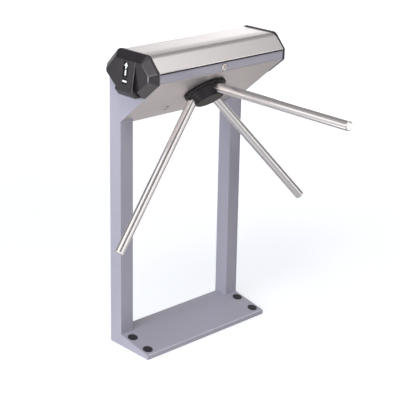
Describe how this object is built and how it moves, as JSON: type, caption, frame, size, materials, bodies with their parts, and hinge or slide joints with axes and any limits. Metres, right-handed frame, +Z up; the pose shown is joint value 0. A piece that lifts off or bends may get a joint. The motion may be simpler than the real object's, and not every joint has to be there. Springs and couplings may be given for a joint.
{
  "type": "tripod turnstile",
  "caption": "Waist-high tripod turnstile on a portal stand, with a hinged top cover, indicator end caps and an indexing arm hub that locks either way.",
  "frame": {"origin": "on the floor at the centre of the four anchor holes", "axes": "+Z up, +X along the head, -Y to the front, where the barrier arm stands out"},
  "size_m": [0.872, 0.7974, 1.062],
  "materials": {
    "painted_frame": "silver-grey powder coat, satin",
    "cover_steel": "stainless sheet, fine brushed along the head",
    "panel_steel": "stainless sheet, brushed, warm grey",
    "tube_steel": "stainless tube, polished",
    "black_plastic": "moulded, fine grain",
    "black_window": "gloss",
    "white_light": "translucent white diffuser",
    "black_rubber": "matte",
    "hub_metal": "black stove enamel, satin",
    "end_plate_metal": "dark enamel, matte",
    "zinc_steel": "zinc plated",
    "ground_steel": "ground and oiled",
    "black_screw": "black oxide",
    "cast_housing": "machined casting",
    "bearing_steel": "ground bearing steel",
    "acetal_white": "white acetal",
    "coil_tape": "varnished winding",
    "circuit_green": "solder mask, gloss",
    "brass_standoff": "turned",
    "chrome_lock": "bright chrome plate",
    "damper_black": "black paint"
  },
  "bodies": {
    "stand": {"base_plate": "zinc_steel", "base_cover": "painted_frame", "anchor_plugs": "black_plastic", "cable_grommet": "black_rubber", "left_cheek": "painted_frame", "right_cheek": "painted_frame", "left_post": "painted_frame", "right_post": "painted_frame", "front_rail": "painted_frame", "inclined_panel": "panel_steel", "rear_wall": "painted_frame", "cover_seal": "black_rubber", "left_end_cap": "black_plastic", "right_end_cap": "black_plastic", "cap_screws": "zinc_steel", "left_indicator_band": "black_plastic", "right_indicator_band": "black_plastic", "indicator_windows": "black_window", "indicator_symbols": "white_light", "indicator_boards": "circuit_green", "board_standoffs": "brass_standoff", "control_board": "circuit_green", "hinge_frame_leaves": "zinc_steel", "hinge_pins": "ground_steel", "front_lock_body": "chrome_lock", "release_lock_body": "chrome_lock", "mechanism_plate": "zinc_steel", "mechanism_standoffs": "zinc_steel", "bearing_housing": "cast_housing", "housing_screws": "black_screw", "shaft_bearings": "bearing_steel", "solenoid_frames": "zinc_steel", "solenoid_coils": "coil_tape", "pivot_pins": "ground_steel", "rear_bridge": "zinc_steel", "rotary_damper": "damper_black", "position_sensor": "black_plastic"},
    "cover": {"top_cover": "cover_steel", "hinge_cover_leaves": "zinc_steel", "cover_catch": "zinc_steel"},
    "front_key": {"front_lock_plug": "chrome_lock", "front_lock_cam": "zinc_steel"},
    "release_key": {"release_lock_plug": "chrome_lock", "release_lock_cam": "zinc_steel"},
    "tripod": {"main_shaft": "ground_steel", "index_disc": "zinc_steel", "centring_cam": "zinc_steel", "hub_body": "hub_metal", "hub_screws": "black_screw", "hub_end_plate": "end_plate_metal", "barrier_arm_1": "tube_steel", "barrier_arm_2": "tube_steel", "barrier_arm_3": "tube_steel", "arm_end_plugs": "tube_steel"},
    "entry_pawl": {"entry_pawl": "zinc_steel"},
    "exit_pawl": {"exit_pawl": "zinc_steel"},
    "entry_plunger": {"entry_plunger": "ground_steel"},
    "exit_plunger": {"exit_plunger": "ground_steel"},
    "follower": {"follower_lever": "zinc_steel"},
    "roller": {"follower_roller": "acetal_white"}
  },
  "joints": [
    {"name": "tripod_spin", "type": "hinge", "parent": "stand", "child": "tripod", "pos_m": [0, -0.01435, 0.92064], "axis": [0, -0.6428, -0.766], "continuous": true},
    {"name": "cover_hinge", "type": "hinge", "parent": "stand", "child": "cover", "pos_m": [0, 0.1335, 0.9845], "axis": [-1, 0, 0], "range_deg": [0, 80]},
    {"name": "front_lock_turn", "type": "hinge", "parent": "stand", "child": "front_key", "pos_m": [0, -0.12, 0.9935], "axis": [0, 1, 0], "range_deg": [0, 90]},
    {"name": "release_lock_turn", "type": "hinge", "parent": "stand", "child": "release_key", "pos_m": [-0.104, 0.05033, 0.83438], "axis": [0, 0.6428, 0.766], "range_deg": [0, 90]},
    {"name": "entry_pawl_swing", "type": "hinge", "parent": "stand", "child": "entry_pawl", "pos_m": [0.072, -0.0404, 0.94249], "axis": [0, -0.6428, -0.766], "range_deg": [0, 8]},
    {"name": "exit_pawl_swing", "type": "hinge", "parent": "stand", "child": "exit_pawl", "pos_m": [-0.072, -0.0404, 0.94249], "axis": [0, 0.6428, 0.766], "range_deg": [0, 8]},
    {"name": "entry_plunger_slide", "type": "slide", "parent": "stand", "child": "entry_plunger", "axis": [1, 0, 0], "range_m": [0, 0.005]},
    {"name": "exit_plunger_slide", "type": "slide", "parent": "stand", "child": "exit_plunger", "axis": [-1, 0, 0], "range_m": [0, 0.005]},
    {"name": "follower_swing", "type": "hinge", "parent": "stand", "child": "follower", "pos_m": [0.05, 0.03008, 0.88336], "axis": [0, -0.6428, -0.766], "range_deg": [0, 8]},
    {"name": "roller_spin", "type": "hinge", "parent": "follower", "child": "roller", "pos_m": [0, 0.02127, 0.89075], "axis": [0, -0.6428, -0.766], "continuous": true}
  ],
  "couplings": [
    {"joint": "entry_plunger_slide", "follows": "entry_pawl_swing", "m_per_rad": 0.034},
    {"joint": "exit_plunger_slide", "follows": "exit_pawl_swing", "m_per_rad": 0.034}
  ]
}
